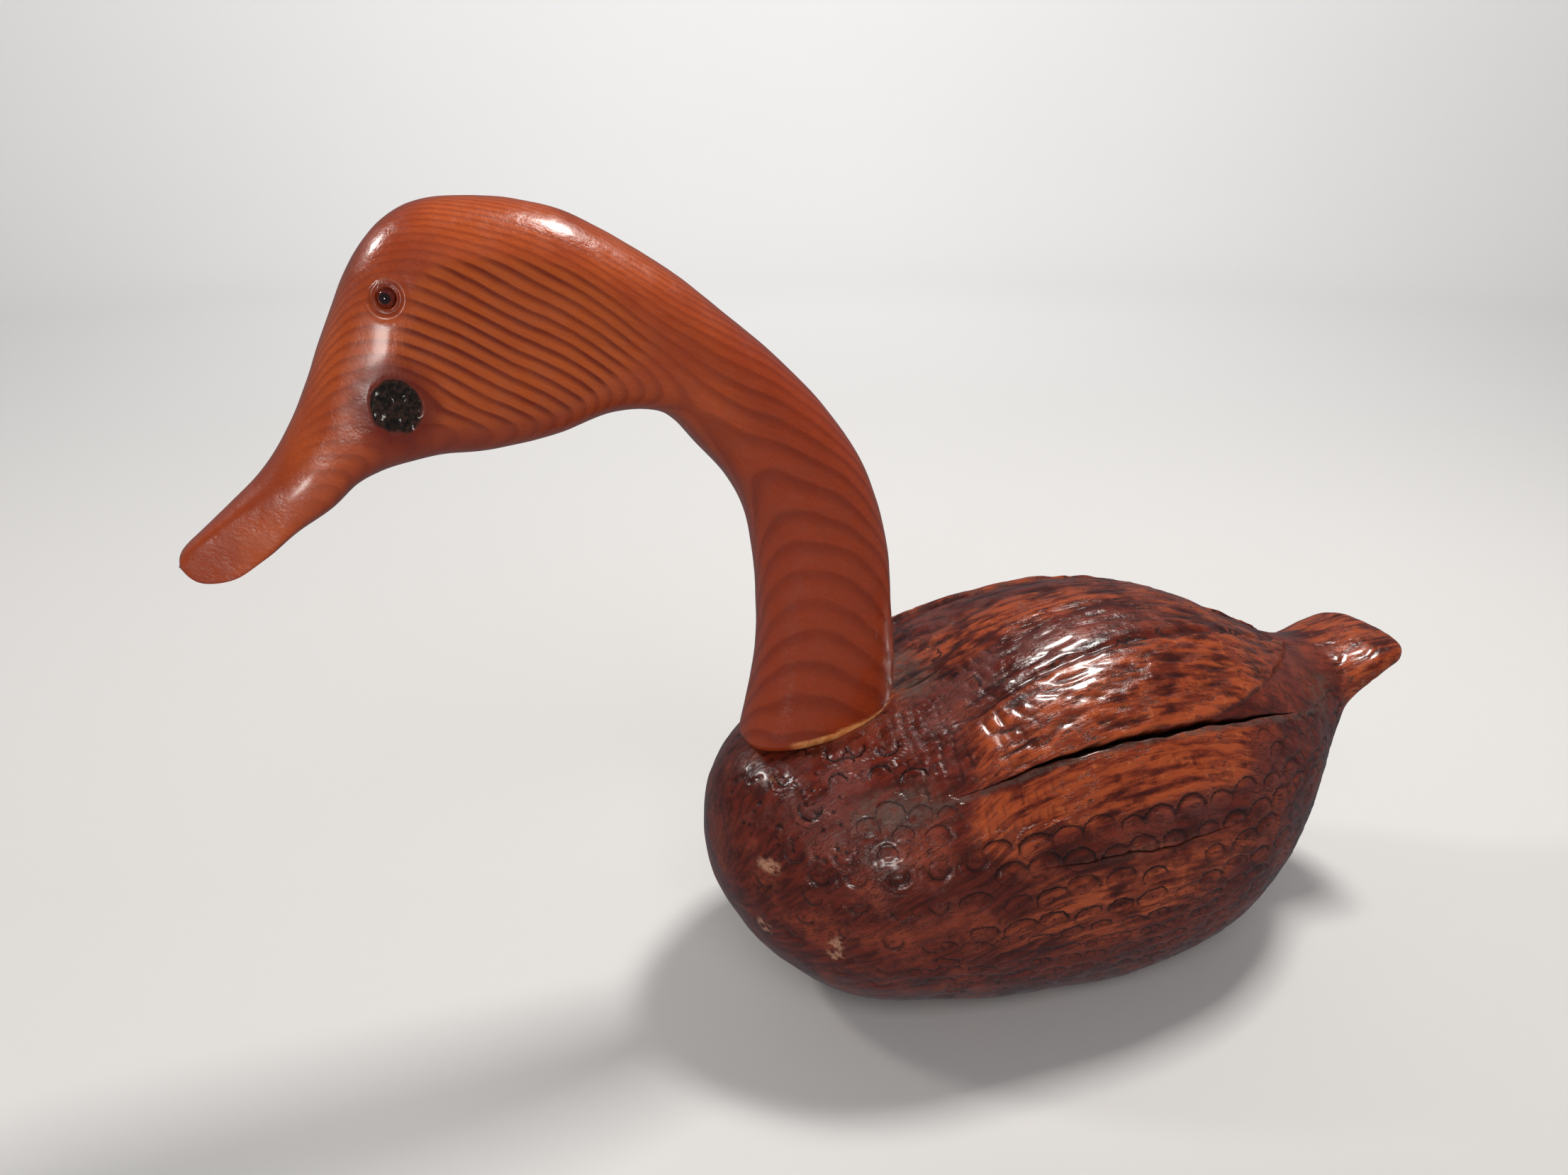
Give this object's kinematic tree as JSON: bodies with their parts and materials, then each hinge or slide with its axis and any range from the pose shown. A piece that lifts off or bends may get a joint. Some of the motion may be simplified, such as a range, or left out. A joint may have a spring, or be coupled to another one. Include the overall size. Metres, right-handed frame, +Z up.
{
  "type": "carved wooden duck decoy",
  "caption": "Long-necked duck decoy: dark carved log body with wings, feather cuts and a drying crack, set with a glossy orange softwood neck, head and bill.",
  "frame": {"origin": "on the surface the decoy stands on, under the middle of its length and width", "axes": "+X towards the tail, -X the way the bill points, -Y the duck's left side, +Z up"},
  "size_m": [0.451, 0.147, 0.2916],
  "materials": {
    "stained_log": "dark red-brown stain and gloss varnish over carved, cracked log wood, worn orange on the wings",
    "varnished_softwood": "glossy orange varnish over ringed softwood with a dark knot",
    "bead": "glossy dark red"
  },
  "bodies": {
    "root": {"body": "stained_log", "head_and_neck": "varnished_softwood", "eye_left": "bead", "eye_right": "bead"}
  },
  "joints": []
}
